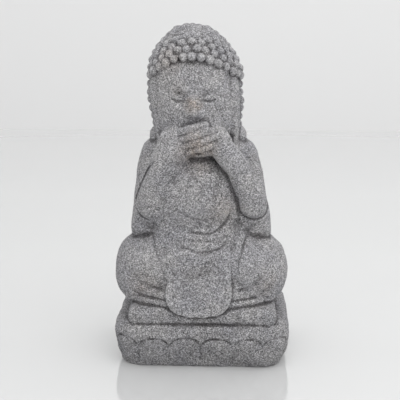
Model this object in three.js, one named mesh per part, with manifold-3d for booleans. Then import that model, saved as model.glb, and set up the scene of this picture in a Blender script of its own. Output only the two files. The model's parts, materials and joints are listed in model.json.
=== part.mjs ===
// A seated buddha statue carved from speckled grey granite. Both hands cover the mouth, the robe falls
// over crossed legs in a tongue-shaped apron, and the figure sits on a cushion over a lotus plinth.
// The carver works one block. Each carved element is its own solid here, so that the statue comes
// apart the way it was blocked out, and neighbours keep a hairline of CLEARANCE between them.
// Millimetres, +Z up. The origin is the centre of the underside. The figure faces -Y, so its own
// right side is -X.
import * as THREE from "three";
import { mergeVertices } from "three/addons/utils/BufferGeometryUtils.js";
import Module from "manifold-3d";

const wasm = await Module();
wasm.setup();

// Driving dimensions
const STATUE_HEIGHT = 400;
const PLINTH = { width: 211, depth: 156, height: 54, corner: 36, bevel: 8 };
const PETAL = { count: 18, overlap: 1.05, foot: 4, shoulder: 24, top: 37, relief: 5 };
const CUSHION = { width: 176, depth: 146, top: 73, corner: 22, bevel: 6 };
const SEAT_X = -1; // the middle of the seated figure
const LEAN = 0.04; // how far the figure leans to its right, as sideways millimetres for each one of height
const LAP = { z: 122, front: -71 };
const BELLY = { z: 205, radius: 50, front: -63 };
const BACK = 66; // how far the mantle reaches behind the middle of the plinth
const CHIN = 258;
const HAIRLINE = 356;
const CURL = { radius: 5.1, pitch: 11, row: 10.2 }; // of the snail curls, along a row and from row to row
const CLEARANCE = 0.3;

const STONE = { granite: 0x858485, shaded: 0x777676, hair: 0x706f6f, worn: 0x918e8b };

// ---- Solids ----

// A closed geometry as a solid that can be joined and cut.
function solid(geometry) {
  const bare = geometry.clone();
  bare.deleteAttribute("normal");
  bare.deleteAttribute("uv");
  const merged = mergeVertices(bare, 1e-3);
  const index = merged.index.array;
  const triangles = [];
  for (let i = 0; i < index.length; i += 3) {
    const [a, b, c] = [index[i], index[i + 1], index[i + 2]];
    if (a !== b && b !== c && c !== a) triangles.push(a, b, c);
  }
  return new wasm.Manifold(
    new wasm.Mesh({
      numProp: 3,
      vertProperties: merged.attributes.position.array,
      triVerts: new Uint32Array(triangles),
    }),
  );
}

function geometryOf(manifold) {
  const mesh = manifold.getMesh();
  const geometry = new THREE.BufferGeometry();
  geometry.setAttribute("position", new THREE.BufferAttribute(mesh.vertProperties, 3));
  geometry.setIndex(new THREE.BufferAttribute(mesh.triVerts, 1));
  geometry.computeVertexNormals();
  return geometry;
}

const join = (solids) => solids.reduce((all, one) => all.add(one));

// The largest body of a solid. A cut can leave slivers of stone beside it.
function mainBody(manifold) {
  const bodies = manifold.decompose();
  return bodies.reduce((best, one) => (one.volume() > best.volume() ? one : best));
}

// A rounded mass at [x, y, z] with radii [rx, ry, rz], grown by g. It is an ellipsoid when boxiness
// is 2, and closer to a box above that.
function pebble(at, radii, boxiness, g = 0, around = 16, down = 10) {
  const geometry = new THREE.SphereGeometry(1, around, down);
  geometry.rotateX(Math.PI / 2);
  const position = geometry.attributes.position;
  for (let i = 0; i < position.count; i++) {
    const point = [position.getX(i), position.getY(i), position.getZ(i)];
    const sum = point.reduce((total, v) => total + Math.abs(v) ** boxiness, 0);
    const scale = sum ** (-1 / boxiness);
    position.setXYZ(i, ...point.map((v, axis) => v * scale * (radii[axis] + g) + at[axis]));
  }
  return solid(geometry);
}
const ball = (at, radii, g = 0, around = 14, down = 8) => pebble(at, radii, 2, g, around, down);

// A tapered limb with round ends: radius ra about point a, radius rb about point b.
function limb(a, ra, b, rb, g = 0, around = 12, endSteps = 3) {
  const from = new THREE.Vector3(...a);
  const to = new THREE.Vector3(...b);
  const length = from.distanceTo(to);
  const profile = [];
  const lean = Math.asin((ra - rb) / length);
  for (let i = 0; i <= endSteps; i++) {
    const angle = -Math.PI / 2 + ((Math.PI / 2 + lean) * i) / endSteps;
    profile.push(new THREE.Vector2((ra + g) * Math.cos(angle), (ra + g) * Math.sin(angle)));
  }
  for (let i = 0; i <= endSteps; i++) {
    const angle = lean + ((Math.PI / 2 - lean) * i) / endSteps;
    profile.push(new THREE.Vector2((rb + g) * Math.cos(angle), length + (rb + g) * Math.sin(angle)));
  }
  profile[0].x = 0;
  profile[profile.length - 1].x = 0;
  const geometry = new THREE.LatheGeometry(profile, around);
  const along = to.clone().sub(from).normalize();
  geometry.applyQuaternion(new THREE.Quaternion().setFromUnitVectors(new THREE.Vector3(0, 1, 0), along));
  geometry.translate(...a);
  return solid(geometry);
}

// A box from its lowest to its highest corner.
function box(low, high) {
  const size = high.map((v, i) => v - low[i]);
  const geometry = new THREE.BoxGeometry(...size);
  geometry.translate(...low.map((v, i) => v + size[i] / 2));
  return solid(geometry);
}

// A block with round upright corners and eased edges, standing between z = bottom and z = top.
function block(width, depth, bottom, top, corner, bevel) {
  const [w, d, r] = [width / 2 - bevel, depth / 2 - bevel, corner - bevel];
  const outline = new THREE.Shape();
  outline.moveTo(-w + r, -d);
  outline.lineTo(w - r, -d);
  outline.absarc(w - r, -d + r, r, -Math.PI / 2, 0);
  outline.lineTo(w, d - r);
  outline.absarc(w - r, d - r, r, 0, Math.PI / 2);
  outline.lineTo(-w + r, d);
  outline.absarc(-w + r, d - r, r, Math.PI / 2, Math.PI);
  outline.lineTo(-w, -d + r);
  outline.absarc(-w + r, -d + r, r, Math.PI, 1.5 * Math.PI);
  const geometry = new THREE.ExtrudeGeometry(outline, {
    depth: top - bottom - 2 * bevel,
    bevelThickness: bevel,
    bevelSize: bevel,
    bevelSegments: 2,
    curveSegments: 4,
  });
  geometry.translate(0, 0, bottom + bevel);
  return solid(geometry);
}

// A plate cut to an outline of [x, z] points, from y = front to y = back, with eased edges.
function plate(points, front, back, ease, g = 0) {
  const outline = new THREE.Shape(points.map(([x, z]) => new THREE.Vector2(x, z)));
  const geometry = new THREE.ExtrudeGeometry(outline, {
    depth: back - front - 2 * ease,
    bevelThickness: ease + g,
    bevelSize: ease + g,
    bevelOffset: -ease,
    bevelSegments: 2,
  });
  geometry.rotateX(Math.PI / 2);
  geometry.translate(0, back - ease, 0);
  return solid(geometry);
}

// ---- Base ----

const plinthBlock = (inset) =>
  block(
    PLINTH.width - 2 * inset,
    PLINTH.depth - 2 * inset,
    inset ? -PLINTH.bevel : 0,
    inset ? PLINTH.height + PLINTH.bevel : PLINTH.height,
    PLINTH.corner - inset,
    PLINTH.bevel,
  );

// A point on the plinth's outline, a distance along it from the middle of the front, and which way
// it faces there.
function plinthEdge(distance) {
  const flatX = PLINTH.width / 2 - PLINTH.corner;
  const flatY = PLINTH.depth / 2 - PLINTH.corner;
  const bend = (Math.PI / 2) * PLINTH.corner;
  const runs = [flatX, bend, 2 * flatY, bend, 2 * flatX, bend, 2 * flatY, bend, flatX];
  let [x, y, heading] = [0, -PLINTH.depth / 2, 0];
  let left = distance;
  for (const [number, run] of runs.entries()) {
    const part = Math.min(left, run);
    if (number % 2 === 0) {
      x += part * Math.cos(heading);
      y += part * Math.sin(heading);
    } else {
      const turned = heading + part / PLINTH.corner;
      x += PLINTH.corner * (Math.sin(turned) - Math.sin(heading));
      y += PLINTH.corner * (Math.cos(heading) - Math.cos(turned));
      heading = turned;
    }
    left -= part;
    if (left <= 0) break;
  }
  return { x, y, heading };
}

const plinthPerimeter =
  2 * (PLINTH.width + PLINTH.depth - 4 * PLINTH.corner) + 2 * Math.PI * PLINTH.corner;

// One petal's arch as a short prism through the plinth's edge.
function petalArch(number, g) {
  const pitch = plinthPerimeter / PETAL.count;
  const half = (pitch * PETAL.overlap) / 2 + g;
  const outline = new THREE.Shape();
  outline.moveTo(-half, PETAL.foot - g);
  outline.lineTo(half, PETAL.foot - g);
  outline.lineTo(half, PETAL.shoulder);
  outline.absellipse(0, PETAL.shoulder, half, PETAL.top - PETAL.shoulder + g, 0, Math.PI);
  const depth = 40;
  const geometry = new THREE.ExtrudeGeometry(outline, { depth, bevelEnabled: false, curveSegments: 3 });
  geometry.rotateX(Math.PI / 2);
  geometry.translate(0, depth / 2, 0);
  const edge = plinthEdge((number + 0.5) * pitch);
  geometry.rotateZ(edge.heading);
  geometry.translate(edge.x, edge.y, 0);
  return solid(geometry);
}

// The petals as they are cut, with no outer face, and as a ring that ends flush with the plinth's edge.
const petalStock = (g) =>
  join(Array.from({ length: PETAL.count }, (_, number) => petalArch(number, g))).subtract(
    plinthBlock(PETAL.relief + g),
  );
const lotusPetals = () => petalStock(0).intersect(plinthBlock(0));

const seatCushion = () =>
  block(
    CUSHION.width,
    CUSHION.depth,
    PLINTH.height + CLEARANCE,
    CUSHION.top,
    CUSHION.corner,
    CUSHION.bevel,
  );

// ---- Legs and robe ----

// side is -1 for the figure's right and 1 for its left.
const knee = (side, g = 0) => pebble([side * 53, -12, 106], [50.2, 53, 44], 2.4, g);
const shin = (side, g = 0) => limb([side * 80, -42, 91], 13, [side * 28, -58, 86], 13, g);
const hem = (side, g = 0) => limb([side * 78, -48, 81], 7, [side * 30, -64, 78], 7, g, 10);
const crossedLegs = (g = 0) => pebble([0, 14, 102], [86, 50, 32], 3.5, g);
const lap = (g = 0) => pebble([0, LAP.front + 46, LAP.z], [50, 46, 36], 2.4, g);

// The tongue of cloth in front: straight sides that narrow a little, then half an ellipse.
const TONGUE = { top: 143, shoulder: 98, tip: 65, topHalf: 33, shoulderHalf: 37, front: -75.5, back: -62 };
function apron(g = 0) {
  const points = [[-TONGUE.topHalf, TONGUE.top]];
  const steps = 10;
  for (let i = 0; i <= steps; i++) {
    const angle = Math.PI + (Math.PI * i) / steps;
    const x = TONGUE.shoulderHalf * Math.cos(angle);
    points.push([x, TONGUE.shoulder + (TONGUE.shoulder - TONGUE.tip) * Math.sin(angle)]);
  }
  points.push([TONGUE.topHalf, TONGUE.top]);
  return plate(points, TONGUE.front, TONGUE.back, 3.5, g);
}

// The sash under the belly: the lower half of a ring of cloth, seen from the front.
function waistFold(g = 0) {
  const geometry = new THREE.TorusGeometry(57, 8.5 + g, 8, 28);
  geometry.rotateX(Math.PI / 2);
  geometry.scale(1, 1.5, 1);
  geometry.translate(0, -49, 207);
  const upperHalf = box([-100, -120, 184 + g], [100, 60, 300]);
  return solid(geometry).subtract(upperHalf);
}

const torso = (g = 0) =>
  pebble([0, BELLY.front + 42, BELLY.z], [55, 42, BELLY.radius], 2.2, g).add(
    ball([0, -8, 234], [54, 37, 30], g),
  );

// The mantle over the shoulders and back: an upright body whose level sections are ellipses.
const MANTLE_PROFILE = [
  [78, 104],
  [82, 128],
  [83, 150],
  [79, 180],
  [76, 206],
  [73, 230],
  [67, 249],
  [54, 262],
  [30, 270],
];
const MANTLE_FLATNESS = 0.72;
const MANTLE_FRONT = -4; // the plane between what is carved on the front of the trunk and the mantle behind it
function mantle(g = 0) {
  const profile = [new THREE.Vector2(0, MANTLE_PROFILE[0][1] - g)];
  for (const [radius, z] of MANTLE_PROFILE) profile.push(new THREE.Vector2(radius + g, z));
  profile[1].y -= g;
  profile[MANTLE_PROFILE.length].y += g;
  profile.push(new THREE.Vector2(0, MANTLE_PROFILE.at(-1)[1] + g));
  const geometry = new THREE.LatheGeometry(profile, 20);
  geometry.rotateX(Math.PI / 2);
  geometry.scale(1, MANTLE_FLATNESS, 1);
  geometry.translate(0, BACK - MANTLE_FLATNESS * 83, 0);
  return solid(geometry).subtract(box([-100, -100, 60], [100, MANTLE_FRONT - g, 300]));
}

const SLEEVE_PANEL_POINTS = [
  [56, 196],
  [53, 162],
  [56, 150],
  [64, 147],
  [80, 148],
  [85, 156],
  [80, 196],
];
function sleevePanel(side, g = 0) {
  const points = SLEEVE_PANEL_POINTS.map(([x, z]) => [side * x, z]);
  return plate(side < 0 ? points.reverse() : points, -50, -20, 5, g);
}

function collar(g = 0) {
  const geometry = new THREE.TorusGeometry(42, 14 + g, 7, 22);
  geometry.translate(0, 8, 265);
  const front = box([-80, -80, 200], [80, -22, 320]);
  return solid(geometry).subtract(front);
}

// ---- Arms and hands ----

const upperArm = (side, g = 0) => limb([side * 50, -10, 236], 21, [side * 57, -22, 196], 20, g);
const forearm = (side, g = 0) => limb([side * 57, -42, 193], 19, [side * 34, -58, 246], 14.5, g);
const rightHand = (g = 0) => limb([-27, -63, 256], 13, [-12, -64, 272], 12.5, g);
const leftHand = (g = 0) => limb([36, -61, 254], 12.5, [22, -64, 275], 12, g);

const FINGER_RADII = [5.2, 5.4, 5.3, 4.8]; // little finger first
const FINGER_PITCH = 8.2;
function finger(number, g = 0) {
  const rise = FINGER_PITCH * number;
  const radius = FINGER_RADII[number];
  const near = [-14 - 1.5 * number, -71, 257 + rise];
  const far = [19 - 0.5 * number, -72, 263 + rise];
  return limb(near, radius, far, radius * 0.86, g, 8);
}

// ---- Head and hair ----

const FACE_BACK = -10; // the plane between the face and the hair behind the ears

const head = (g = 0) =>
  join([
    ball([0, -10, 322], [47, 49, 46], g, 20, 12),
    ball([0, -17, 300], [44, 44, 300 - CHIN], g),
    limb([0, -62, 298], 6.5, [0, -56, 320], 4.5, g, 8, 2),
  ]);
const ear = (side, g = 0) => ball([side * 48.5, FACE_BACK - 12, 300], [6.5, 11, 36], g, 10, 9);

// The outline that the curls reach, as half an oval drawn upwards, at angle t above the widest point.
const HAIR = { y: -8, widest: 330, radius: 57, crown: STATUE_HEIGHT - 330, point: 1.05 };
const hairSlope = (t) =>
  new THREE.Vector2(Math.cos(t) / HAIR.radius, Math.sin(t) / HAIR.crown).normalize();
function hairOutline(t, inset = 0) {
  const radius = HAIR.radius * Math.cos(t) ** HAIR.point;
  const outer = new THREE.Vector2(radius, HAIR.widest + HAIR.crown * Math.sin(t));
  return outer.addScaledVector(hairSlope(t), -inset);
}

const CAP_INSET = 2 * CURL.radius;
const NAPE = 277;
const faceOpening = box([-70, -90, 200], [70, FACE_BACK, HAIRLINE - CURL.radius]);

function hairCap() {
  const steps = 8;
  const profile = [new THREE.Vector2(0, NAPE), new THREE.Vector2(HAIR.radius - CAP_INSET - 3, NAPE)];
  for (let i = 0; i <= steps; i++) profile.push(hairOutline((i / steps) * (Math.PI / 2), CAP_INSET));
  profile[profile.length - 1].x = 0;
  const geometry = new THREE.LatheGeometry(profile, 24);
  geometry.rotateX(Math.PI / 2);
  geometry.translate(0, HAIR.y, 0);
  return solid(geometry).subtract(faceOpening);
}

// A closed ring made of one section after another round the Z axis. A section is a loop of [radius, z] corners.
function sweptRing(sections) {
  const corners = sections[0].length;
  const positions = [];
  const index = [];
  sections.forEach((section, step) => {
    const angle = (2 * Math.PI * step) / sections.length;
    for (const [radius, z] of section) {
      positions.push(radius * Math.cos(angle), radius * Math.sin(angle), z);
    }
    const next = (step + 1) % sections.length;
    for (let corner = 0; corner < corners; corner++) {
      const after = (corner + 1) % corners;
      const [a, b] = [step * corners + corner, step * corners + after];
      const [c, d] = [next * corners + after, next * corners + corner];
      index.push(a, d, c, a, c, b);
    }
  });
  const geometry = new THREE.BufferGeometry();
  geometry.setAttribute("position", new THREE.Float32BufferAttribute(positions, 3));
  geometry.setIndex(index);
  return geometry;
}

// One row of curls: a ring with a flat inner face on the hair cap, pinched in between each curl and the next.
function curlRow({ radius, z, slope }) {
  const curls = Math.max(6, Math.round((2 * Math.PI * radius) / CURL.pitch));
  const half = CURL.radius * 0.97;
  const section = (outer) =>
    [
      [-half, -0.84 * half],
      [outer, -outer],
      [outer, outer],
      [-half, 0.84 * half],
    ].map(([out, up]) => [
      radius + out * Math.cos(slope) - up * Math.sin(slope),
      z + out * Math.sin(slope) + up * Math.cos(slope),
    ]);
  const sections = Array.from({ length: 2 * curls }, (_, step) => section(step % 2 ? 0.62 * half : half));
  const geometry = sweptRing(sections);
  geometry.translate(0, HAIR.y, 0);
  return solid(geometry);
}

// Rows from the nape up to the crown, spaced evenly along the hair's outline.
function curlRowPlaces() {
  const places = [];
  for (let z = HAIR.widest; z > NAPE + CURL.radius; z -= CURL.row) {
    places.unshift({ radius: HAIR.radius - CURL.radius, z, slope: 0 });
  }
  const fine = 2000;
  let last = hairOutline(0, CURL.radius);
  for (let i = 1; i < fine; i++) {
    const t = (i / fine) * (Math.PI / 2);
    const next = hairOutline(t, CURL.radius);
    if (next.distanceTo(last) >= CURL.row && next.x > 1.2 * CURL.row) {
      places.push({ radius: next.x, z: next.y, slope: hairSlope(t).angle() });
      last = next;
    }
  }
  return places;
}

function crownCurl() {
  const radii = [CURL.radius, CURL.radius, CURL.radius];
  return ball([0, HAIR.y, STATUE_HEIGHT - CURL.radius], radii, 0, 8, 6);
}

// ---- Assembly ----

const base = new THREE.Group();
const figure = new THREE.Group();
const statue = new THREE.Group();
statue.add(base, figure);

// The figure leans from its seat upwards.
figure.matrixAutoUpdate = false;
figure.matrix
  .makeShear(0, 0, 0, 0, -LEAN, 0)
  .premultiply(new THREE.Matrix4().makeTranslation(SEAT_X + LEAN * CUSHION.top, 0, 0));

function place(group, name, shape, colour = STONE.granite) {
  const material = new THREE.MeshStandardMaterial({ color: colour, roughness: 0.92, metalness: 0 });
  const mesh = new THREE.Mesh(geometryOf(mainBody(shape)), material);
  mesh.name = name;
  group.add(mesh);
}

const pair = (name, make, colour) => [
  [`right_${name}`, (g) => make(-1, g), colour],
  [`left_${name}`, (g) => make(1, g), colour],
];
const fingers = FINGER_RADII.map((_, number) => [
  `right_finger_${number + 1}`,
  (g) => finger(number, g),
  STONE.worn,
]);
// A region that the elements after it in the order keep out of.
const reserved = (low, high) => [null, () => box(low, high)];
const NO_LEAN_GAP = 3 * CLEARANCE; // the base doesn't lean, so the leaning apron needs this much room in it

// The figure's carved elements, the foremost first. Each one is cut back by all those before it.
const carved = [
  ["robe_apron", apron],
  reserved([-150, -150, -50], [150, 150, CUSHION.top + CLEARANCE]),
  ...pair("hem_fold", hem),
  ...pair("shin", shin),
  ["robe_lap", lap],
  ...fingers,
  ["right_hand", rightHand, STONE.worn],
  ["left_hand", leftHand, STONE.worn],
  ...pair("forearm", forearm),
  ...pair("sleeve_panel", sleevePanel),
  ["waist_fold", waistFold],
  ...pair("ear", ear, STONE.worn),
  reserved([-90, -90, HAIRLINE - CURL.radius - CLEARANCE], [90, 90, STATUE_HEIGHT]),
  reserved([-90, FACE_BACK - CLEARANCE, NAPE - CLEARANCE], [90, 90, STATUE_HEIGHT]),
  ["head", head, STONE.worn],
  ["robe_mantle", mantle],
  ...pair("upper_arm", upperArm),
  ["torso", torso],
  ["right_knee", (g) => knee(-1, g)],
  ["left_knee", (g) => knee(1, g)],
  ["crossed_legs", crossedLegs],
  ["robe_collar", collar],
];

place(base, "plinth_block", plinthBlock(0).subtract(petalStock(CLEARANCE)), STONE.shaded);
place(base, "lotus_petal_band", lotusPetals());
place(base, "seat_cushion", seatCushion().subtract(apron(NO_LEAN_GAP)));

let taken = null;
for (const [name, make, colour] of carved) {
  if (name) place(figure, name, taken ? make(0).subtract(taken) : make(0), colour);
  const grown = make(CLEARANCE);
  taken = taken ? taken.add(grown) : grown;
}

place(figure, "hair_cap", hairCap(), STONE.hair);
curlRowPlaces().forEach((row, number) => {
  const overForehead = row.z > HAIRLINE - CURL.radius;
  const shape = overForehead ? curlRow(row) : curlRow(row).subtract(faceOpening);
  place(figure, `curl_row_${String(number + 1).padStart(2, "0")}`, shape, STONE.hair);
});
place(figure, "crown_curl", crownCurl(), STONE.hair);

export default statue;
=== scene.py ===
# The seated granite buddha, sculpted over its CAD frame.
# The whole statue is one distance field on a grid of cells, in millimetres. Each carved element adds its own
# mass, relief or fold to it. Then the stone is divided along the carved creases, so that every CAD node gets
# a closed piece of its own whose outer surface runs on into its neighbours.
import json
import math

import bpy
import numpy as np
import openvdb as vdb
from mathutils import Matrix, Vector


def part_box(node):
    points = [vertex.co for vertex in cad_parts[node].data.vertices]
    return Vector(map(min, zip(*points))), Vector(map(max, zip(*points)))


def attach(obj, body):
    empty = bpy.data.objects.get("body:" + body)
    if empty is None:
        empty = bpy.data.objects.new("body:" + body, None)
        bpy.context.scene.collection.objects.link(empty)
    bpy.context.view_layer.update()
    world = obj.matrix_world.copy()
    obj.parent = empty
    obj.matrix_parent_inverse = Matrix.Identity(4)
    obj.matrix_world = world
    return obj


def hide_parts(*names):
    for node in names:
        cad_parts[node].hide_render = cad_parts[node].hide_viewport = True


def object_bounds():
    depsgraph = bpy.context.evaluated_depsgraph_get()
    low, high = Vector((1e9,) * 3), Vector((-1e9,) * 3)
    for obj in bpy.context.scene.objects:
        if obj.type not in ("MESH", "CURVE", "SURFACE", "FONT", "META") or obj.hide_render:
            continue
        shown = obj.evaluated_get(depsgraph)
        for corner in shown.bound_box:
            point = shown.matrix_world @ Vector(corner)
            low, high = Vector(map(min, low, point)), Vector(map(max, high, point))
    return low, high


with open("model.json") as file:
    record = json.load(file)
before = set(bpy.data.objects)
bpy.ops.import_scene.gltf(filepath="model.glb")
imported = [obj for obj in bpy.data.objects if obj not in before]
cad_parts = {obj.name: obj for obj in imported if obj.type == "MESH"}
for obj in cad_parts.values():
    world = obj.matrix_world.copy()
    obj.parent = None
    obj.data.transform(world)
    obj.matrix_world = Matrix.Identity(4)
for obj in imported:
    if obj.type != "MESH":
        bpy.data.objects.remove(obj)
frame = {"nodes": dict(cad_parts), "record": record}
cad_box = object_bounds()

# ---------------------------------------------------------------- dimensions, mm

MM = 0.001
CELL = 1.0
HEIGHT = cad_box[1][2] / MM
PLINTH_HALF = (cad_box[1][0] / MM, 78.0)
PLINTH_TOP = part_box("plinth_block")[1][2] / MM
PLINTH_CORNER = (36.0, 13.0)  # at the front, at the back
SEAT_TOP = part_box("seat_cushion")[1][2] / MM
LOW = np.array([-PLINTH_HALF[0] - 7, -PLINTH_HALF[1] - 8, -4.0])
HIGH = np.array([PLINTH_HALF[0] + 7, PLINTH_HALF[1] + 6, HEIGHT + 8])
FAR = 9.0  # the field's value well outside the stone
MARGIN = 9.0  # how far a mass's window reaches past the mass

# The figure leans to its right above the belly.
SEAT_X = -2.3
LEAN_FROM = 185.0
LEAN = 0.048

PETALS = 18


def lean(z):
    return SEAT_X - LEAN * np.maximum(z - LEAN_FROM, 0)


# ---------------------------------------------------------------- fields

shape = tuple(int(n) for n in np.ceil((HIGH - LOW) / CELL) + 1)
axes = [(LOW[a] + CELL * np.arange(shape[a])).astype(np.float32) for a in range(3)]
stone = np.full(shape, FAR, np.float32)
masses = {}  # node name -> (window, field)


def window(low, high, upright=False):
    """The slices of the grid between two corners of the figure's own frame, and x, y, z there."""
    low, high = np.array(low, float) - MARGIN, np.array(high, float) + MARGIN
    if not upright:
        shifts = lean(np.array([low[2], high[2]]))
        low[0] += shifts.min()
        high[0] += shifts.max()
    slices = []
    for a in range(3):
        first = max(0, int(math.floor((low[a] - LOW[a]) / CELL)))
        last = min(shape[a], int(math.ceil((high[a] - LOW[a]) / CELL)) + 1)
        slices.append(slice(first, last))
    x = axes[0][slices[0]][:, None, None]
    y = axes[1][slices[1]][None, :, None]
    z = axes[2][slices[2]][None, None, :]
    if not upright:
        x = (x - lean(z)).astype(np.float32)
    return tuple(slices), (x, y, z)


def smin(a, b, k):
    """The lower of two fields, with a fillet about k wide."""
    k = np.maximum(k, 1e-3).astype(np.float32)
    h = np.maximum(k - np.abs(a - b), 0) / k
    return np.minimum(a, b) - h * h * (k / 4)


def smax(a, b, k):
    return -smin(-a, -b, k)


def union(fields, k):
    out = fields[0]
    for f in fields[1:]:
        out = smin(out, f, k)
    return out


def pebble(p, at, radii, n=2.0, turn=0.0):
    """An ellipsoid, or for n above 2 a boxier one. turn tips it about Y, in degrees."""
    x, y, z = p[0] - at[0], p[1] - at[1], p[2] - at[2]
    if turn:
        c, s = math.cos(math.radians(turn)), math.sin(math.radians(turn))
        x, z = c * x + s * z, c * z - s * x
    reach = np.sqrt(x * x + y * y + z * z) + 1e-3
    f = (np.abs(x / radii[0]) ** n + np.abs(y / radii[1]) ** n + np.abs(z / radii[2]) ** n) ** (1 / n)
    return reach * (1 - 1 / np.maximum(f, 0.05))


def limb(p, a, b, ra, rb):
    """A round bar from a to b that tapers from radius ra to rb."""
    ab = [b[i] - a[i] for i in range(3)]
    rel = [p[i] - a[i] for i in range(3)]
    along = sum(rel[i] * ab[i] for i in range(3)) / sum(v * v for v in ab)
    t = np.clip(along, 0, 1)
    gap = sum((rel[i] - t * ab[i]) ** 2 for i in range(3))
    return np.sqrt(gap) - (ra + (rb - ra) * t)


def bar(p, points, radii):
    """Limbs end to end through several points."""
    runs = [limb(p, points[i], points[i + 1], radii[i], radii[i + 1]) for i in range(len(points) - 1)]
    out = runs[0]
    for run in runs[1:]:
        out = np.minimum(out, run)
    return out


def brick(p, at, half, r):
    """A box with rounded edges."""
    q = [np.abs(p[i] - at[i]) - (half[i] - r) for i in range(3)]
    outside = np.sqrt(sum(np.maximum(v, 0) ** 2 for v in q))
    return outside + np.minimum(np.maximum(np.maximum(q[0], q[1]), q[2]), 0) - r


def curve(points, per_span=8, closed=False):
    """A smooth line through points, as an array of [x, z]."""
    pts = np.array(points, float)
    n = len(pts)
    out = []
    for i in range(n if closed else n - 1):
        ids = [(i - 1) % n, i, (i + 1) % n, (i + 2) % n] if closed else [
            max(i - 1, 0), i, i + 1, min(i + 2, n - 1)]
        a, b, c, d = pts[ids]
        for t in np.arange(per_span) / per_span:
            out.append(0.5 * (2 * b + (c - a) * t + (2 * a - 5 * b + 4 * c - d) * t * t
                              + (3 * b - a - 3 * c + d) * t ** 3))
    if not closed:
        out.append(pts[-1])
    return np.array(out)


def line_distance(p, line, closed=False):
    """Distance in the XZ plane to a line, the way along it from 0 to 1, and the side of it."""
    x = np.broadcast_to(p[0], (p[0].shape[0], 1, p[2].shape[2]))
    z = np.broadcast_to(p[2], x.shape)
    ends = np.roll(line, -1, 0) if closed else line[1:]
    best = np.full(x.shape, 1e9, np.float32)
    where = np.zeros(x.shape, np.float32)
    side = np.zeros(x.shape, np.float32)
    for i in range(len(ends)):
        a, b = line[i], ends[i]
        ab = b - a
        t = np.clip(((x - a[0]) * ab[0] + (z - a[1]) * ab[1]) / max(ab @ ab, 1e-9), 0, 1)
        d = (x - a[0] - t * ab[0]) ** 2 + (z - a[1] - t * ab[1]) ** 2
        near = d < best
        best = np.where(near, d, best)
        where = np.where(near, (i + t) / len(ends), where)
        side = np.where(near, np.sign(ab[0] * (z - a[1]) - ab[1] * (x - a[0])), side)
    return np.sqrt(best), where, side


def outline(p, points):
    """Signed distance in the XZ plane to a smooth closed outline, negative inside."""
    line = curve(points, 6, True)
    d, _, _ = line_distance(p, line, True)
    x = np.broadcast_to(p[0], d.shape)
    z = np.broadcast_to(p[2], d.shape)
    inside = np.zeros(d.shape, bool)
    for a, b in zip(line, np.roll(line, -1, 0)):
        edge_x = (b[0] - a[0]) * (z - a[1]) / (b[1] - a[1] + 1e-12) + a[0]
        inside ^= ((a[1] > z) != (b[1] > z)) & (x < edge_x)
    return np.where(inside, -d, d)


def carve(name, low, high, make, blend=2.0, upright=False):
    """Adds one node's mass to the stone. make(p, stone there) gives its field."""
    slices, p = window(low, high, upright)
    full = stone[slices].shape
    field = np.broadcast_to(make(p, stone[slices]), full).astype(np.float32)
    masses[name] = (slices, field)
    stone[slices] = smin(stone[slices], field, blend(p) if callable(blend) else blend)


def furrow(points, depth, above, below=None, front=-20.0, fade=0.2):
    """Cuts a crease along a line of [x, z] points, on the stone in front of a depth.

    On the upper side of a line drawn from left to right the surface drops into it over above, and on the
    lower side it comes back over below, in millimetres.
    """
    line = curve(points)
    below = above if below is None else below
    reach = 2.2 * max(above, below)
    low = [line[:, 0].min() - reach, LOW[1], line[:, 1].min() - reach]
    high = [line[:, 0].max() + reach, front, line[:, 1].max() + reach]
    slices, p = window(low, high)
    d, t, side = line_distance(p, line)
    ends = np.clip(np.minimum(t, 1 - t) / fade, 0, 1) ** 0.7 if fade else 1.0
    cut = depth * ends * np.exp(-((d / np.where(side > 0, above, below)) ** 2))
    keep = np.clip((front + MARGIN - p[1]) / MARGIN, 0, 1)
    stone[slices] += (cut * keep).astype(np.float32)


# ---------------------------------------------------------------- base


def plinth_plan(p):
    """Signed distance in plan to the plinth's outline, and the way along it from the middle of the front."""
    x, y = np.abs(p[0]), p[1]
    corner = np.where(y > 0, PLINTH_CORNER[1], PLINTH_CORNER[0])
    qx, qy = x - (PLINTH_HALF[0] - corner), np.abs(y) - (PLINTH_HALF[1] - corner)
    d = np.hypot(np.maximum(qx, 0), np.maximum(qy, 0)) + np.minimum(np.maximum(qx, qy), 0) - corner
    flat_x, flat_y = PLINTH_HALF[0] - PLINTH_CORNER[0], PLINTH_HALF[1] - PLINTH_CORNER[0]
    bend = math.pi / 2 * PLINTH_CORNER[0]
    rx, ry = x - flat_x, np.abs(y) - flat_y
    angle = np.arctan2(np.maximum(rx, 1e-6), np.maximum(ry, 1e-6)) * PLINTH_CORNER[0]
    quarter = np.where(rx <= 0, x, np.where(ry <= 0, flat_x + bend + flat_y + y, flat_x + angle))
    total = 2 * (flat_x + bend + flat_y)
    past_side = (y > 0) & (ry > 0)
    return d, np.where(past_side, total - quarter, quarter), total


def plinth_inset(z):
    return np.interp(z, [0, 8, 16, 29, 38, 46, 54], [10.0, 6.6, 4.0, 1.2, 0.4, 2.2, 5.0]).astype(np.float32)


PETAL_TOP = 38.5
PETAL_VALLEY = 7.5  # how far the scalloped line dips between petals
PETAL_SWELL = 1.9


def petal_edge(p):
    """Across each petal from -1 to 1, and the height over the petals' scalloped upper line."""
    d, along, total = plinth_plan(p)
    along = along + 0.9 * np.sin(along / 9.0) + 0.7 * np.sin(p[0] / 17.0 + p[1] / 23.0 + 1.0)
    u = (np.mod(along / (total / (PETALS / 2)), 1.0) - 0.5) * 2
    top = PETAL_TOP + 0.7 * np.sin(p[0] / 14.0 + p[1] / 19.0)
    line = top - PETAL_VALLEY * np.abs(u) ** 3.0
    slope = 3.0 * PETAL_VALLEY * np.abs(u) ** 2.0 / (total / PETALS)
    return d, u, (p[2] - line) / np.sqrt(1 + slope * slope)


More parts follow.
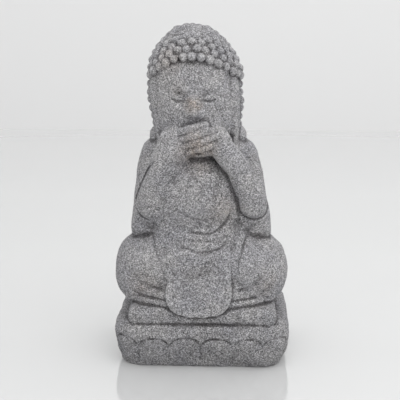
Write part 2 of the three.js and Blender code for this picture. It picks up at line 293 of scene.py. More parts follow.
def plinth(p, _):
    d, _, over = petal_edge(p)
    under = 2.3 * np.clip(0.5 - over / 3.6, 0, 1)
    side = d + plinth_inset(p[2]) + under
    edge = np.interp(p[1], [-45, 45], [7.0, 4.0]).astype(np.float32)
    return smax(smax(side, p[2] - PLINTH_TOP, edge), -p[2], 2.0)


def petals(p, _):
    d, u, over = petal_edge(p)
    foot = np.clip(p[2] / 14.0, 0.25, 1)
    swell = PETAL_SWELL * (1 - np.abs(u) ** 2.2) * foot
    face = d + plinth_inset(p[2]) + 1.8 - swell
    back = -(d + plinth_inset(p[2]) + 9.0)
    return smax(smax(smax(face, over + 1.0, 4.0), back, 1.0), -p[2], 2.0)


hx, hy = PLINTH_HALF
carve("plinth_block", [-hx, -hy, 0], [hx, hy, PLINTH_TOP], plinth, 0, True)
carve("lotus_petal_band", [-hx, -hy, 0], [hx, hy, PETAL_TOP], petals, 0.8, True)

CUSHION_MIDDLE = (1.0, 0.0, SEAT_TOP - 11)
CUSHION_HALF = (87.5, 73.5, 11)
carve(
    "seat_cushion",
    [-88, -74, PLINTH_TOP - 6],
    [89, 74, SEAT_TOP],
    lambda p, _: brick(p, CUSHION_MIDDLE, CUSHION_HALF, 9.5),
    1.5,
    True,
)

# ---------------------------------------------------------------- legs

SIDES = ((-1, "right"), (1, "left"))


def above_seat(p, field, k=10.0, floor=0.5):
    return smax(field, SEAT_TOP - floor - p[2], k)


carve(
    "crossed_legs",
    [-88, -34, 70],
    [88, 66, 140],
    lambda p, _: above_seat(
        p,
        union([pebble(p, (0, 12, 104), (90, 54, 36), 3.2), pebble(p, (0, 12, 84), (78, 52, 18), 3.4)], 12.0),
        4.0,
    ),
    0,
)
SHIN = [(88, -32, 97), (62, -50.5, 89.5), (30, -60, 85.5)]
SHIN_RADII = [9.0, 10.0, 9.0]
HEM = [(84, -40, 81), (60, -54.5, 77.5), (30, -64, 76)]
HEM_RADII = [6.5, 7.0, 6.5]


def on_side(side, points):
    """Points given for the left, on the left or mirrored to the right."""
    return [(side * x, *rest) for x, *rest in points]


for side, word in SIDES:
    carve(
        f"{word}_knee",
        [side * 53 - 56, -70, 66],
        [side * 53 + 56, 44, 154],
        lambda p, _: above_seat(
            p,
            union(
                [
                    pebble(p, (side * 52, -10, 106), (52.5, 50, 45.5), 2.45),
                    pebble(p, (side * 53, -20, 114), (38, 46.5, 37.5), 2.15),
                ],
                6.0,
            ),
        ),
        5.0,
    )
    carve(
        f"{word}_shin",
        [min(side * 86, side * 26) - 14, -74, 70],
        [max(side * 86, side * 26) + 14, -20, 112],
        lambda p, _: bar(p, on_side(side, SHIN), SHIN_RADII),
        4.0,
    )
    carve(
        f"{word}_hem_fold",
        [min(side * 80, side * 26) - 8, -74, 66],
        [max(side * 80, side * 26) + 8, -30, 92],
        lambda p, _: bar(p, on_side(side, HEM), HEM_RADII),
        1.2,
    )

# ---------------------------------------------------------------- trunk

TRUNK_Z = [100, 130, 150, 158, 178, 203, 232, 247, 256, 264, 270, 276]
TRUNK_WIDTH = [76, 82, 83.3, 83, 80.3, 77.6, 74, 70, 65.5, 57, 44, 20]
TRUNK_BACK = [56, 59, 59, 58.5, 56, 53, 50, 47, 44, 40, 34, 20]
TRUNK_FRONT = [34, 36, 41, 48, 54, 50, 46, 44, 43, 39, 34, 20]


def trunk(p, _):
    z = p[2]
    w = np.interp(z, TRUNK_Z, TRUNK_WIDTH).astype(np.float32)
    x, y = p[0], p[1] - np.interp(z, [100, 276], [6, 12]).astype(np.float32)
    back = np.interp(z, TRUNK_Z, TRUNK_BACK).astype(np.float32)
    front = np.interp(z, TRUNK_Z, TRUNK_FRONT).astype(np.float32)
    b = np.where(y > 0, back, front)
    flat = np.interp(z, [190, 235], [4.5, 2.8]).astype(np.float32)
    n = np.where(y > 0, np.float32(2.3), flat)
    f = (np.abs(x / w) ** n + np.abs(y / b) ** n) ** (1 / n)
    reach = np.sqrt(x * x + y * y) + 1e-3
    body = reach * (1 - 1 / np.maximum(f, 0.05))
    return smax(smax(body, z - 268, 14.0), 108 - z, 10.0)


def torso(p, _):
    belly = pebble(p, (0, -18, 204), (51, 46.5, 45.5), 2.8)
    chest = pebble(p, (-2, -16, 222), (46, 44, 33), 2.2)
    throat = pebble(p, (0, -16, 252), (50, 28, 24), 2.4)
    flank = pebble(p, (-39, -36, 171), (13, 15, 16))
    return union([belly, chest, throat, flank], 8.0)


def waist(p, _):
    return pebble(p, (1, -18, 146), (63, 44.5, 36), 2.3)


LAP_EDGE = [
    (-60, 162), (-50, 135), (-42.5, 114), (-40, 84), (0, 76), (42, 84), (45.5, 114), (51, 138), (60, 162),
]


def lap(p, _):
    return smax(pebble(p, (0, -20, 106), (64, 49.5, 46), 3.2), outline(p, LAP_EDGE), 3.0)


carve("robe_mantle", [-86, -54, 96], [86, 68, 272], trunk, 4.0)
carve("robe_lap", [-60, -76, 78], [60, 20, 160], lap, 3.5)
carve("waist_fold", [-64, -66, 108], [66, 22, 194], waist, 10.0)
carve("torso", [-52, -68, 152], [52, 28, 276], torso, 9.0)

APRON = [
    (-34, 150), (-36.5, 138), (-37, 107), (-39.0, 93), (-36.8, 80), (-29, 68.8), (-14, 64.2), (0, 63.3),
    (12, 63.8), (24.5, 66.8), (34.3, 75), (38.3, 90), (37.8, 106), (36, 138), (33, 150),
]
TONGUE_FRONT = 76.3


def apron(p, under):
    """A thin sheet over the lap whose lower end comes forward into a tongue over the cushion."""
    t = np.clip((112 - p[2]) / 38, 0, 1)
    forward = t * t * (3 - 2 * t)
    thick = 1.3 + 1.9 * forward - 0.6 * np.clip(p[0] / 30, 0, 1)
    tongue_face = -(TONGUE_FRONT - 7.0 * (1 - forward)) - p[1]
    tongue = smax(smax(p[1] + 64, p[2] - 112, 6.0), tongue_face, 2.0)
    sheet = smax(smin(under - thick, tongue, 2.5), p[1] + 52, 2.0)
    return smax(sheet, outline(p, APRON), 2.6)


carve("robe_apron", [-42, -78, 60], [42, -50, 146], apron, 0.8)

# ---------------------------------------------------------------- arms

UPPER_ARM = [(45, 2, 237), (53, -3, 222), (57, -8, 196)]
UPPER_ARM_RADII = [24, 22, 19.5]
RIGHT_FOREARM = [(-58.3, -41, 192.5), (-52.5, -47, 214), (-38.5, -55, 240), (-31, -58, 252)]
RIGHT_FOREARM_RADII = [17.4, 16.8, 14.5, 13.5]
LEFT_FOREARM = [(62.5, -42, 193), (58, -48, 210), (46.5, -55, 238), (37, -58, 252)]
LEFT_FOREARM_RADII = [17.0, 16.4, 14.6, 13.4]

for side, word in SIDES:
    carve(
        f"{word}_upper_arm",
        [min(side * 80, side * 28), -50, 172],
        [max(side * 80, side * 28), 16, 262],
        lambda p, _: bar(p, on_side(side, UPPER_ARM), UPPER_ARM_RADII),
        5.0,
    )

PANEL = [
    (52, 236), (51, 206), (46, 184), (49, 168), (52, 155), (57, 149.5), (70, 147.8), (80, 148.3), (86.5, 152),
    (92, 175), (92, 206), (92, 236),
]


def sleeve_panel(side):
    """The robe's hanging sleeve: a sheet over the trunk that thins out up the arm."""

    def make(p, _):
        edge = outline(p, on_side(side, PANEL))
        proud = np.interp(p[2], [150, 185, 205, 232], [2.2, 2.0, 1.4, 0.0]).astype(np.float32)
        sheet = trunk(p, None) - proud * np.clip((24 - p[1]) / 36, 0, 1)
        return smax(smax(smax(sheet, edge, 2.2), p[1] - 22, 6.0), p[2] - 228, 14.0)

    return make


for side, word in SIDES:
    ends = sorted((side * 40, side * 88))
    carve(f"{word}_sleeve_panel", [ends[0], -56, 148], [ends[1], 24, 230], sleeve_panel(side), 0.8)


def soft_inside(middle, side, near, far):
    """A fillet near wide on one side of an upright line of x, and far wide on the other."""
    return lambda p: near + (far - near) * np.clip(0.5 + side * (p[0] - middle(p[2])) / 12, 0, 1)


carve(
    "right_forearm",
    [-80, -74, 172],
    [-20, -22, 262],
    lambda p, _: bar(p, RIGHT_FOREARM, RIGHT_FOREARM_RADII),
    soft_inside(lambda z: np.interp(z, [175, 193, 243], [-65, -59, -34]), 1, 1.5, 15.0),
)
carve(
    "left_forearm",
    [26, -74, 172],
    [84, -22, 262],
    lambda p, _: bar(p, LEFT_FOREARM, LEFT_FOREARM_RADII),
    soft_inside(lambda z: np.interp(z, [175, 193, 243], [66, 64, 45]), 1, 2.0, 5.0),
)

# ---------------------------------------------------------------- head

BROW = [(6, -55, 327), (16, -54, 331.5), (28, -46, 327)]
BROW_RADII = [2.6, 2.4, 1.6]


def head(p, _):
    skull = pebble(p, (0, -8, 326), (48, 50, 49), 2.5)
    cheeks = pebble(p, (0, -15, 298), (45.5, 45, 45), 2.55)
    face = smin(skull, cheeks, 10.0)
    brows = [bar(p, on_side(side, BROW), BROW_RADII) for side, _ in SIDES]
    face = smin(face, union(brows, 2.0), 8.0)
    for side, _ in SIDES:
        socket = pebble(p, (side * 19.5, -63.5, 320), (11.5, 9, 5.8), 2.0)
        face = smax(face, -socket, 8.0)
    for side, _ in SIDES:
        lid = pebble(p, (side * 17.5, -46.5, 318.0), (11.0, 9.5, 6.2), 2.0)
        face = smin(face, lid, 3.5)
    bridge = bar(p, [(0, -55, 327), (0, -60, 312), (0, -63, 303)], [3.4, 4.0, 5.6])
    wings = [pebble(p, (side * 6.8, -60.5, 301.5), (4.8, 5.4, 4.2)) for side, _ in SIDES]
    nose = union([bridge] + wings, 3.0)
    return smin(face, nose, 5.0)


def ear(side):
    def make(p, _):
        x = side * (46.8 - 3.5 * np.clip((302 - p[2]) / 44, 0, 1))
        shell = pebble((p[0] - x, p[1], p[2]), (0, -19, 318), (5.8, 17, 23))
        lobe = pebble((p[0] - x, p[1], p[2]), (0, -20, 286), (5.4, 14, 28))
        dish = pebble((p[0] - x - side * 6.0, p[1], p[2]), (0, -17, 319), (3.6, 8.5, 13.5))
        return smax(union([shell, lobe], 8.0), -dish, 2.0)

    return make


carve("head", [-50, -70, 252], [50, 42, 374], head, 3.0)
for side, word in SIDES:
    ends = sorted((side * 38, side * 54))
    carve(f"{word}_ear", [ends[0], -42, 256], [ends[1], -2, 343], ear(side), 9.0)
carve(
    "robe_collar",
    [-60, -20, 252],
    [60, 56, 284],
    lambda p, _: smax(
        np.hypot(np.hypot(p[0] / 1.08, p[1] - 8) - 42, (p[2] - 267) / 1.05) - 12.0,
        -16 - p[1],
        8.0,
    ),
    1.5,
)

# ---------------------------------------------------------------- hands

FINGERS = [
    [(-14, -59, 256), (5, -66, 261), (21, -65, 266.5)],
    [(-20, -60, 262), (3, -67.5, 268.5), (22, -66, 275)],
    [(-23, -60, 269.5), (-1, -67, 276), (19, -65.5, 282)],
    [(-25, -59, 277), (-5, -64.5, 283), (12, -62, 287.5)],
]
FINGER_RADII = [[4.4, 4.6, 4.0], [4.6, 4.9, 4.3], [4.6, 4.9, 4.3], [4.6, 4.8, 4.2]]
carve(
    "right_hand",
    [-50, -76, 236],
    [4, -40, 292],
    lambda p, _: union(
        [
            pebble(p, (-23, -54, 265), (20, 13.5, 20), 2.2, -20),
            limb(p, (-38, -54, 246), (-25, -57, 262), 13.8, 13),
        ],
        6.0,
    ),
    7.0,
)
carve(
    "left_hand",
    [2, -76, 236],
    [48, -40, 292],
    lambda p, _: union(
        [
            pebble(p, (28, -54, 266), (12.5, 13, 21), 2.2, 12),
            pebble(p, (17, -54, 277), (12, 9.5, 11), 2.0),
            limb(p, (38, -54, 246), (29, -56, 262), 13, 12),
            pebble(p, (3, -51, 259), (23, 10.5, 10), 2.0),
        ],
        6.0,
    ),
    5.0,
)
for number, (points, radii) in enumerate(zip(FINGERS, FINGER_RADII)):
    low = np.min(points, 0) - max(radii)
    high = np.max(points, 0) + max(radii)
    carve(f"right_finger_{number + 1}", low, high, lambda p, _: bar(p, points, radii), 1.6)

# ---------------------------------------------------------------- hair

HAIR_Z = [277, 284, 298, 313, 327, 336, 345, 355, 364, 374, 383, 392, 397, 401]
HAIR_R = [51.5, 53, 55, 56.3, 57.2, 57, 56.3, 54, 50.5, 44.5, 36, 25.5, 18, 4.0]
HAIR_Y = -6.0
CAP_INSET = 3.6
CURL_R = 5.3
CURL_INSET = 4.4
ROW = 9.7
FRONT_RISE = 27.5  # how far a row climbs, over the hair, from the side of the head to the forehead
HAIRLINE_ROW = 63.2  # from the nape to the row over the forehead, at the side of the head
HAIRLINE = 361.0
HAIRLINE_DROP = 22.0  # how much lower the hairline is at the temples
FACE_BACK = -13.0  # the hair stays behind this depth below the hairline


def hairline(x):
    return HAIRLINE - HAIRLINE_DROP * (x / 50) ** 2


def hair_cap(p, _):
    z = p[2]
    inset = CAP_INSET * np.interp(z, [376, 393], [1, 0.35])  # the crown is rubbed, so its gaps are shallow
    r = (np.interp(z, HAIR_Z, HAIR_R) - inset).astype(np.float32)
    steep = np.interp(z, [277, 345, 374, 392, 400], [1, 0.98, 0.75, 0.5, 0.4]).astype(np.float32)
    cap = (np.hypot(p[0], p[1] - HAIR_Y) - r) * steep
    cap = smax(smax(cap, z - (HEIGHT - 2.3), 3.0), 274 - z, 6.0)
    return smax(cap, np.minimum(FACE_BACK - p[1], hairline(p[0]) + 2.5 - z), 3.0)


carve("hair_cap", [-56, -62, 268], [56, 54, HEIGHT], hair_cap, 1.0)


def hair_outline():
    """The hair's outline from the nape to the crown: distance along it, height and radius."""
    z = np.linspace(HAIR_Z[0], HAIR_Z[-1], 4000)
    r = np.interp(z, HAIR_Z, HAIR_R)
    run = np.concatenate([[0], np.cumsum(np.hypot(np.diff(z), np.diff(r)))])
    return run, z, r


rng = np.random.default_rng(7)
curl_nodes = sorted(n for n in frame["nodes"] if n.startswith("curl_row"))
run, outline_z, outline_r = hair_outline()
row_fields = {"crown_curl": [(0.0, HAIR_Y, HEIGHT - CURL_R + 0.4, CURL_R)]}
SWEEP_STEP = 2 * math.pi / 720
sweep = math.pi / 2 + np.arange(720) * SWEEP_STEP  # from the back of the head round to the back again


def along_row(s0, angle):
    """How far up the hair's outline a row runs at an angle: it climbs towards the forehead."""
    climb = FRONT_RISE + (1.2 if s0 > HAIRLINE_ROW + 1 else 0)
    return np.minimum(s0 + climb * np.maximum(-np.sin(angle), 0) ** 1.8, run[-1])


for number, s0 in enumerate(np.arange(5.0, run[-1] - 4.0, ROW)):
    node = curl_nodes[number] if number < len(curl_nodes) else "crown_curl"
    reach = np.maximum(np.interp(along_row(s0, sweep), run, outline_r) - CURL_INSET, 0)
    walked = np.cumsum(reach) * SWEEP_STEP
    forehead = np.interp(1.5 * math.pi, sweep, walked)
    count = max(1, round(walked[-1] / (ROW * 1.02)))
    for i in range(count):
        place = forehead + walked[-1] * (i + 0.5 * (number % 2)) / count
        angle = float(np.interp(place % walked[-1], walked, sweep))
        s = float(along_row(s0, angle))
        z0, r0 = np.interp(s, run, outline_z), np.interp(s, run, outline_r)
        fall = np.interp(s + 1.5, run, outline_r) - np.interp(s - 1.5, run, outline_r)
        climb = np.interp(s + 1.5, run, outline_z) - np.interp(s - 1.5, run, outline_z)
        steep = math.hypot(fall, climb)
        radius = max(r0 - CURL_INSET * climb / steep, 0.0)
        height = z0 + CURL_INSET * fall / steep
        x, y = radius * math.cos(angle), HAIR_Y + radius * math.sin(angle)
        jitter = rng.normal(0, 0.4, 3)
        size = CURL_R * rng.uniform(0.93, 1.06)
        hidden = height < hairline(x) - 2.0 and y < FACE_BACK + 2
        if hidden or s > run[-1] - 4.5:
            continue
        row_fields.setdefault(node, []).append((x + jitter[0], y + jitter[1], height + jitter[2], size))


def beads(places):
    def make(p, _):
        out = np.full(np.broadcast_shapes(*(v.shape for v in p)), FAR, np.float32)
        y_axis, z_axis = p[1][0, :, 0], p[2][0, 0, :]
        for x, y, z, r in places:
            reach = r + 5
            ys = slice(*np.searchsorted(y_axis, [y - reach, y + reach]))
            zs = slice(*np.searchsorted(z_axis, [z - reach, z + reach]))
            xs = p[0][:, 0, zs].mean(1)
            xr = slice(*np.searchsorted(xs, [x - reach, x + reach]))
            part = (p[0][xr, :, zs], p[1][:, ys], p[2][:, :, zs])
            d = np.sqrt((part[0] - x) ** 2 + (part[1] - y) ** 2 + (part[2] - z) ** 2) - r
            out[xr, ys, zs] = smin(out[xr, ys, zs], d, 0.8)
        return out

    return make


for node, places in row_fields.items():
    spots = np.array(places)
    low, high = spots[:, :3].min(0) - 6, spots[:, :3].max(0) + 6
    rubbed = np.clip((spots[:, 2].mean() - HAIRLINE) / 20, 0, 1)
    carve(node, low, high, beads(places), 1.4 + 1.8 * rubbed)

# ---------------------------------------------------------------- furrows

# The belly's rolls, the sash, the robe's edges, the folds over the legs, the creases round the elbows, the
# gap under the hands, and the closed eyes.
furrow([(-28, 191), (-16.3, 183.3), (-1.3, 178), (12.6, 179.2), (24, 186)], 1.4, 1.1, 7.0, -35)
furrow(
    [(-14, 163.5), (-3.7, 161.5), (14.9, 161.7), (28.7, 172.6), (35, 184), (38, 196)], 1.5, 1.3, 3.0, -35
)
furrow([(-26, 150), (-16.3, 144.4), (3.4, 139.9), (22, 143.7), (34.1, 151.5)], 1.5, 1.2, 3.0, -35)
furrow([(-57, 157), (-49.7, 135.1), (-42.4, 117), (-40.6, 106)], 0.8, 1.2, 1.2, -30)
furrow([(56, 158), (51, 143.5), (45.9, 125.4), (45.4, 112)], 0.9, 1.2, 1.2, -30)
furrow([(-72, 104), (-62.7, 101), (-52, 96), (-38.5, 90.5)], 1.0, 1.3, 4.5, -25)
furrow([(-84, 93), (-76.3, 88.8), (-59.2, 83.7), (-37.5, 80)], 1.0, 1.3, 2.6, -25)
furrow([(39, 91), (53, 96), (64.9, 102), (76, 110)], 1.0, 1.3, 4.5, -25)
furrow([(36, 80), (62.1, 83.5), (76, 91), (87, 99)], 1.0, 1.3, 2.6, -25)
furrow(
    [(-46, 248), (-56, 236), (-70.5, 209), (-76.3, 191), (-70.5, 177), (-58, 173.5)], 2.0, 1.2, 1.2, -10
)
furrow([(50, 180), (60, 175.5), (69, 174), (78, 179), (80.5, 192), (77, 210)], 1.6, 1.2, 1.2, -10)
furrow([(0.4, 254.3), (4.4, 254.3)], 3.2, 1.5, 1.5, -50, 0)
for side, _ in SIDES:
    furrow([(side * 8, 316), (side * 17, 313.8), (side * 26.5, 317)], 2.1, 1.2, 1.2, -40)

# ---------------------------------------------------------------- hand-cut unevenness


def unevenness(points):
    """Low waves over the stone, in millimetres: the marks of cutting and rubbing by hand."""
    out = np.zeros(len(points), np.float32)
    waves = np.random.default_rng(3)
    for length, height in ((60, 0.35), (34, 0.25), (19, 0.18), (11, 0.12), (6, 0.08)):
        for _ in range(7):
            direction = waves.normal(size=3)
            direction *= 2 * math.pi / (length * waves.uniform(0.8, 1.25) * np.linalg.norm(direction))
            out += (height / 2.2) * np.sin(points @ direction.astype(np.float32) + waves.uniform(0, 6.28))
    return out


near = np.argwhere(np.abs(stone) < 3.0 * max(CELL, 1.0))
world = (near * CELL + LOW).astype(np.float32)
flat_foot = np.clip(world[:, 2] / 3.0, 0, 1)
rough_foot = 1 + 1.6 * np.clip(1 - world[:, 2] / 24.0, 0, 1)
amount = unevenness(world) * flat_foot * rough_foot
stone[tuple(near.T)] += amount

# ---------------------------------------------------------------- dividing the stone into pieces

first = np.full(shape, FAR * 4, np.float32)
second = np.full(shape, FAR * 4, np.float32)
owner = np.full(shape, -1, np.int16)
names = list(masses)
for number, name in enumerate(names):
    slices, field = masses[name]
    a, b, o = first[slices], second[slices], owner[slices]
    lower = field < a
    second[slices] = np.where(lower, a, np.minimum(b, field))
    first[slices] = np.where(lower, field, a)
    owner[slices] = np.where(lower, number, o)

LAP_OVER = 1.2  # how far a piece runs on beneath its neighbour


def sample(volume, points):
    """Trilinear values of a grid at world points."""
    q = (points - LOW) / CELL
    base = np.clip(np.floor(q).astype(int), 0, np.array(shape) - 2)
    t = (q - base).astype(np.float32)
    out = np.zeros(len(points), np.float32)
    for corner in range(8):
        offset = np.array([(corner >> a) & 1 for a in range(3)])
        weight = np.prod(np.where(offset, t, 1 - t), 1)
        index = base + offset
        out += weight * volume[index[:, 0], index[:, 1], index[:, 2]]
    return out


def blurred(volume, reach):
    """The volume averaged over a cube."""
    out = volume.copy()
    n = max(1, int(round(reach / CELL)))
    for axis in range(3):
        total = np.cumsum(out, axis=axis, dtype=np.float32)
        ahead_ids = np.minimum(np.arange(shape[axis]) + n, shape[axis] - 1)
        ahead = np.take(total, ahead_ids, axis)
        behind_ids = np.arange(shape[axis]) - n - 1
        behind = np.take(total, np.maximum(behind_ids, 0), axis)
        lead = [1, 1, 1]
        lead[axis] = shape[axis]
        behind = behind * (behind_ids >= 0).reshape(lead)
        size = (ahead_ids - np.maximum(behind_ids, -1)).reshape(lead)
        out = (ahead - behind) / size
    return out


# How hollow each place of the stone is, from a blurred copy of it; the material paints shade into the hollows
# from it.
hollow = blurred(np.clip(stone, -FAR, FAR), 4.0)
FACE_HOLLOWS = 0.8  # how much of the painted shade of other hollows the face's have


def largest(points, quads):
    """The faces and points of the largest connected surface."""
    label = np.arange(len(points))
    for _ in range(400):
        low = label[quads].min(1)
        before = label.copy()
        for corner in range(4):
            np.minimum.at(label, quads[:, corner], low)
        label = label[label]
        if np.array_equal(before, label):
            break
    ids, counts = np.unique(label[quads[:, 0]], return_counts=True)
    keep = label[quads[:, 0]] == ids[counts.argmax()]
    quads = quads[keep]
    used, quads = np.unique(quads, return_inverse=True)
    return points[used], quads.reshape(-1, 4)


def piece(name):
    slices, field = masses[name]
    number = names.index(name)
    other = np.where(owner[slices] == number, second[slices], first[slices])
    border = (field - other) / 2
    body = stone[slices]
    part = np.maximum(body + 0.5 * np.maximum(border, 0), border - LAP_OVER)
    part = np.pad(np.clip(part, -3, 3), 1, constant_values=3.0).astype(np.float32)
    grid = vdb.FloatGrid(3.0)
    grid.copyFromArray(part)
    points, quads = grid.convertToQuads(0.0)
    points = points.astype(np.float64) - 1
    corner = LOW + CELL * np.array([s.start for s in slices])
    points, quads = largest(points * CELL + corner, quads)
    mesh = bpy.data.meshes.new(name)
    mesh.from_pydata((points * MM).tolist(), [], quads.tolist())
    mesh.polygons.foreach_set("use_smooth", np.ones(len(quads), bool))
    mesh.update()
    slope = np.stack(
        [
            sample(stone, points + np.eye(3)[a] * 0.9) - sample(stone, points - np.eye(3)[a] * 0.9)
            for a in range(3)
        ],
        1,
    )
    length = np.linalg.norm(slope, axis=1, keepdims=True)
    own = np.zeros(len(points) * 3, np.float32)
    mesh.vertices.foreach_get("normal", own)
    own = own.reshape(-1, 3)
    depth = sample(stone, points)
    skin = (np.abs(depth) < 0.9)[:, None] & (length > 0.3)
    normals = np.where(skin, slope / np.maximum(length, 1e-6), own)
    mesh.normals_split_custom_set_from_vertices(normals.tolist())
    # Painted shade: the hollow attribute darkens creases and hollows in the material, and lightens raised
    # edges.
    shade = mesh.attributes.new("hollow", "FLOAT", "POINT")
    share = FACE_HOLLOWS if name == "head" else 1.0
    shade.data.foreach_set("value", (-share * sample(hollow, points)).astype(np.float32))
    obj = bpy.data.objects.new("stone_" + name, mesh)
    bpy.context.scene.collection.objects.link(obj)
    return obj


# ---------------------------------------------------------------- granite

IRON_STAINS = [  # place and reach in mm, and strength
    ((-24, -54, 329), 12, 0.22),
    ((-9, -62, 310), 13, 0.9),
    ((-6, -62, 254), 30, 0.45),
    ((-2, -70, 268), 26, 0.3),
    ((27, -62, 190), 26, 0.25),
    ((-68, -58, 95), 26, 0.3),
    ((73, -50, 99), 20, 0.25),
    ((-38, -48, 360), 22, 0.3),
]
FOOT_SHADE_HEIGHT = 44.0  # painted shade: the stone is darkened below this height
COARSE_GRAIN = 0.0009  # m
FINE_GRAIN = 0.00058  # m


def granite(name, tone, crease, edge_lightening, stain):
    """Speckled grey granite.

    tone scales its brightness, crease the strength of the painted shade in its hollows, edge_lightening how
    much its raised edges are lightened, and stain its iron marks.
    """
    material = bpy.data.materials.new(name)
    material.use_nodes = True
    tree = material.node_tree
    tree.nodes.clear()

    def node(kind, **settings):
        made = tree.nodes.new(kind)
        for key, value in settings.items():
            if key in made.inputs:
                made.inputs[key].default_value = value
            else:
                setattr(made, key, value)
        return made

    def link(a, out, b, into):
        tree.links.new(a.outputs[out], b.inputs[into])

    def math_node(operation, a, b, clamp=False):
        made = tree.nodes.new("ShaderNodeMath")
        made.operation = operation
        made.use_clamp = clamp
        for socket, value in zip(made.inputs, (a, b)):
            if isinstance(value, tuple):
                tree.links.new(value[0].outputs[value[1]], socket)
            else:
                socket.default_value = value
        return made, "Value"

    def ramp(source, stops, constant=False):
        made = tree.nodes.new("ShaderNodeValToRGB")
        tree.links.new(source[0].outputs[source[1]], made.inputs["Fac"])
        made.color_ramp.interpolation = "CONSTANT" if constant else "LINEAR"
        elements = made.color_ramp.elements
        while len(elements) < len(stops):
            elements.new(0.5)
        for element, (at, colour) in zip(elements, stops):
            element.position = at
            element.color = (*colour, 1) if len(colour) == 3 else colour
        return made, "Color"

    def mix(kind, factor, a, b):
        made = tree.nodes.new("ShaderNodeMix")
        made.data_type = "RGBA"
        made.blend_type = kind
        ports = [(made.inputs[0], factor), (made.inputs[6], a), (made.inputs[7], b)]
        for socket, value in ports:
            if isinstance(value, tuple) and isinstance(value[0], bpy.types.Node):
                tree.links.new(value[0].outputs[value[1]], socket)
            elif isinstance(value, tuple):
                socket.default_value = (*value, 1)
            else:
                socket.default_value = value
        return made, 2

    place = node("ShaderNodeTexCoord")

    def grains(size):
        made = node("ShaderNodeTexVoronoi", feature="F1", Scale=1 / size, Randomness=1.0)
        link(place, "Object", made, "Vector")
        return made

    def clouds(size, detail=2.0, rough=0.5):
        made = node("ShaderNodeTexNoise", Scale=1 / size, Detail=detail, Roughness=rough)
        link(place, "Object", made, "Vector")
        return made

    coarse = grains(COARSE_GRAIN)
    fine = grains(FINE_GRAIN)
    split_coarse = node("ShaderNodeSeparateColor")
    link(coarse, "Color", split_coarse, "Color")
    split_fine = node("ShaderNodeSeparateColor")
    link(fine, "Color", split_fine, "Color")
    greys = [(0.0, 0.012), (0.14, 0.07), (0.3, 0.17), (0.5, 0.29), (0.7, 0.46), (0.87, 0.76)]
    tinted = [(at, (v, v * 0.988, v * 1.02)) for at, v in greys]
    crystal = ramp((split_coarse, "Red"), tinted, True)
    dust = ramp((split_fine, "Green"), tinted, True)
    body = mix("MIX", 0.45, crystal, dust)

    patch_tints = [(0.3, (0.87, 0.875, 0.9)), (0.7, (1.12, 1.11, 1.08))]
    patches = ramp((clouds(0.035, 3.0, 0.6), "Fac"), patch_tints)
    body = mix("MULTIPLY", 1.0, body, patches)

    hollow_value = node("ShaderNodeAttribute", attribute_name="hollow")
    # Painted shade: the stone is darkened in its creases and hollows, more so as crease grows.
    painted_crease_shade = ramp((hollow_value, "Fac"), [(0.0, (1, 1, 1)), (0.06, (1, 1, 1)), (0.7, (0.38, 0.37, 0.37))])
    body = mix("MULTIPLY", crease, body, painted_crease_shade)
    # Raised edges are lightened here by the given amount.
    raised = math_node("MULTIPLY", (hollow_value, "Fac"), -1.0)
    edge = math_node("MULTIPLY", raised, edge_lightening, True)
    body = mix("SCREEN", edge, body, (0.16, 0.16, 0.16))

    # Painted shade: the stone is darkened towards its foot.
    height = node("ShaderNodeSeparateXYZ")
    link(place, "Object", height, "Vector")
    up_the_foot = math_node("DIVIDE", (height, "Z"), FOOT_SHADE_HEIGHT * MM, True)
    foot = ramp(up_the_foot, [(0.3, (0.87, 0.87, 0.87)), (1.0, (1, 1, 1))])
    body = mix("MULTIPLY", 1.0, body, foot)

    if stain:
        broken = ramp((clouds(0.006, 3.0, 0.6), "Fac"), [(0.35, (0.3, 0.3, 0.3)), (0.65, (1, 1, 1))])
        for at, radius, strength in IRON_STAINS:
            gap = node("ShaderNodeVectorMath", operation="DISTANCE")
            link(place, "Object", gap, "Vector")
            gap.inputs[1].default_value = [v * MM for v in at]
            spot = math_node("SUBTRACT", 1.0, math_node("DIVIDE", (gap, "Value"), radius * MM), True)
            spot = math_node("MULTIPLY", math_node("MULTIPLY", spot, broken), strength * stain)
            body = mix("MULTIPLY", spot, body, (0.98, 0.74, 0.5))
    body = mix("MULTIPLY", 1.0, body, (tone, tone, tone))

    rough = ramp((split_fine, "Blue"), [(0.0, (0.72,) * 3), (1.0, (0.92,) * 3)])
    pits = math_node("MULTIPLY", (fine, "Distance"), 600.0, True)
    relief = math_node("ADD", pits, (split_coarse, "Green"))
    pock = clouds(0.0025, 3.0, 0.7)
    relief = math_node("ADD", relief, (pock, "Fac"))
    bump = node("ShaderNodeBump", Strength=0.55, Distance=0.0005)
    tree.links.new(relief[0].outputs[relief[1]], bump.inputs["Height"])

    shader = node("ShaderNodeBsdfPrincipled")
    tree.links.new(body[0].outputs[body[1]], shader.inputs["Base Color"])
    tree.links.new(rough[0].outputs[rough[1]], shader.inputs["Roughness"])
    tree.links.new(bump.outputs["Normal"], shader.inputs["Normal"])
    shader.inputs["Specular IOR Level"].default_value = 0.35
    output = node("ShaderNodeOutputMaterial")
    link(shader, "BSDF", output, "Surface")
    return material


SLOTS = {
    "granite_body": granite("granite_body", 1.05, 0.9, 0.35, 1.0),
    "granite_base": granite("granite_base", 0.91, 1.0, 0.3, 0.0),
    "granite_skin": granite("granite_skin", 1.07, 0.75, 0.35, 1.0),
    "granite_hair": granite("granite_hair", 1.0, 0.9, 0.6, 1.0),
}
slot_of = {part["node"]: part["material_slot"] for part in frame["record"]["subparts"]}
for name in names:
    obj = piece(name)
    obj.data.materials.append(SLOTS[slot_of[name]])
    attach(obj, "root")
    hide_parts(name)

# ---------------------------------------------------------------- studio


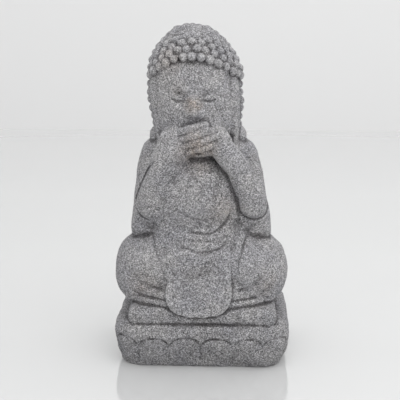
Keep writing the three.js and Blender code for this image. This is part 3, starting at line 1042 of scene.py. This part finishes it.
def plain(name, colour, roughness, level, coat):
    material = bpy.data.materials.new(name)
    material.use_nodes = True
    shader = material.node_tree.nodes["Principled BSDF"]
    shader.inputs["Base Color"].default_value = (*colour, 1)
    shader.inputs["Roughness"].default_value = roughness
    shader.inputs["Specular IOR Level"].default_value = level
    shader.inputs["Coat Weight"].default_value = coat
    shader.inputs["Coat Roughness"].default_value = 0.06
    return material


def sheet(name, corners, material):
    mesh = bpy.data.meshes.new(name)
    mesh.from_pydata(corners, [], [(0, 1, 2, 3)])
    mesh.materials.append(material)
    obj = bpy.data.objects.new(name, mesh)
    bpy.context.scene.collection.objects.link(obj)
    return obj


BACKDROP_Y = 2.0
sheet(
    "studio_floor",
    [(-6, -6, 0), (6, -6, 0), (6, BACKDROP_Y, 0), (-6, BACKDROP_Y, 0)],
    plain("studio_floor", (0.7, 0.705, 0.705), 0.07, 1.0, 0.8),
)
sheet(
    "studio_backdrop",
    [(-6, BACKDROP_Y, 0), (6, BACKDROP_Y, 0), (6, BACKDROP_Y, 5), (-6, BACKDROP_Y, 5)],
    plain("studio_backdrop", (0.84, 0.84, 0.84), 0.9, 0.1, 0.0),
)


def area_light(name, at, towards, size, power):
    data = bpy.data.lights.new(name, "AREA")
    data.shape = "SQUARE"
    data.size = size
    data.energy = power
    obj = bpy.data.objects.new(name, data)
    bpy.context.scene.collection.objects.link(obj)
    obj.location = at
    direction = np.array(towards, float) - np.array(at, float)
    yaw = math.atan2(direction[0], -direction[1])
    pitch = math.atan2(math.hypot(direction[0], direction[1]), -direction[2])
    obj.rotation_euler = (pitch, 0, yaw + math.pi)
    return obj


area_light("softbox_top", (0.7, -0.4, 2.4), (0, 0, 0.2), 3.0, 24)
area_light("softbox_front", (1.3, -2.4, 1.9), (0, 0, 0.2), 3.2, 16)

world = bpy.data.worlds.new("studio")
bpy.context.scene.world = world
world.use_nodes = True
world.node_tree.nodes["Background"].inputs["Color"].default_value = (1, 1, 1, 1)
world.node_tree.nodes["Background"].inputs["Strength"].default_value = 0.92
bpy.context.scene.view_settings.view_transform = "Standard"

camera_data = bpy.data.cameras.new("camera")
camera_data.lens = 85
camera_data.sensor_width = 36
camera = bpy.data.objects.new("camera", camera_data)
bpy.context.scene.collection.objects.link(camera)
AZIMUTH, ELEVATION, DISTANCE = math.radians(2.5), math.radians(12), 1.150
TARGET = (-0.004, 0.0, 0.188)
camera.location = (
    TARGET[0] + DISTANCE * math.sin(AZIMUTH) * math.cos(ELEVATION),
    TARGET[1] - DISTANCE * math.cos(AZIMUTH) * math.cos(ELEVATION),
    TARGET[2] + DISTANCE * math.sin(ELEVATION),
)
camera.rotation_euler = (math.pi / 2 - ELEVATION, 0, AZIMUTH)
bpy.context.scene.camera = camera
